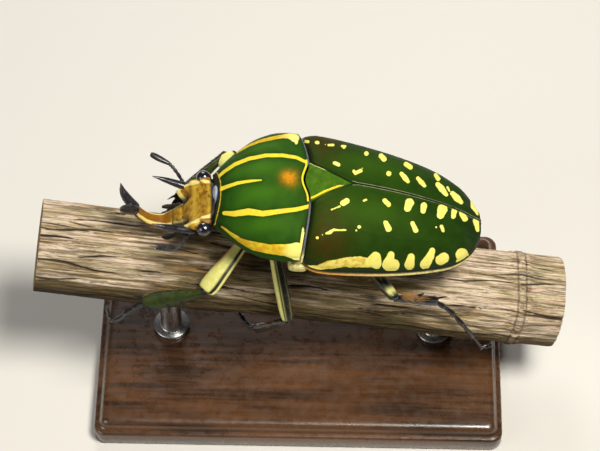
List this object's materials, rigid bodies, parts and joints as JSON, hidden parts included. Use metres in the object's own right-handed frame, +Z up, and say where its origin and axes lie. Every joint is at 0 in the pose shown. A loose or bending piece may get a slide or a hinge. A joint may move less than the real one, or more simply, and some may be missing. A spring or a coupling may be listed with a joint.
{
  "type": "giant african fruit beetle",
  "caption": "Life-size male horned scarab beetle with spotted green wing cases and a forked horn, gripping a short cut branch on a plain display stand.",
  "frame": {"origin": "middle of the flat underside of the display base, which is also the middle of the whole part seen from above", "axes": "+Z up; +X from the beetle's head towards its tail, along the base's length and the branch; +Y towards the beetle's right side"},
  "size_m": [0.1076, 0.05, 0.0596],
  "materials": {
    "velvet_green": "velvety deep green shell",
    "dark_green": "satin dark green shell, black at the rims",
    "light_green": "velvety lighter green shell",
    "cream": "matte cream shell",
    "ochre": "satin ochre shell",
    "black": "glossy black shell",
    "bark": "rough, cracked bark",
    "dark_wood": "dark lacquered wood",
    "steel": "brushed steel rod"
  },
  "bodies": {
    "root": {"stand_base": "dark_wood", "stand_rod_front": "steel", "stand_rod_rear": "steel", "perch": "bark", "pronotum": "velvet_green", "scutellum": "light_green", "elytron_left": "dark_green", "elytron_right": "dark_green", "thorax_under": "black", "abdomen": "black", "head": "ochre", "horn_shaft": "ochre", "horn_fork": "black", "epimeron_left": "cream", "epimeron_right": "cream", "side_horn_left": "black", "eye_left": "black", "antenna_left": "black", "side_horn_right": "black", "eye_right": "black", "antenna_right": "black", "femur_fore_left": "cream", "tibia_fore_left": "dark_green", "tarsus_fore_left": "black", "femur_fore_right": "cream", "tibia_fore_right": "dark_green", "tarsus_fore_right": "black", "femur_mid_left": "cream", "tibia_mid_left": "black", "tarsus_mid_left": "black", "femur_mid_right": "cream", "tibia_mid_right": "black", "tarsus_mid_right": "black", "femur_hind_left": "cream", "tibia_hind_left": "black", "tarsus_hind_left": "black", "femur_hind_right": "cream", "tibia_hind_right": "black", "tarsus_hind_right": "black"}
  },
  "joints": []
}
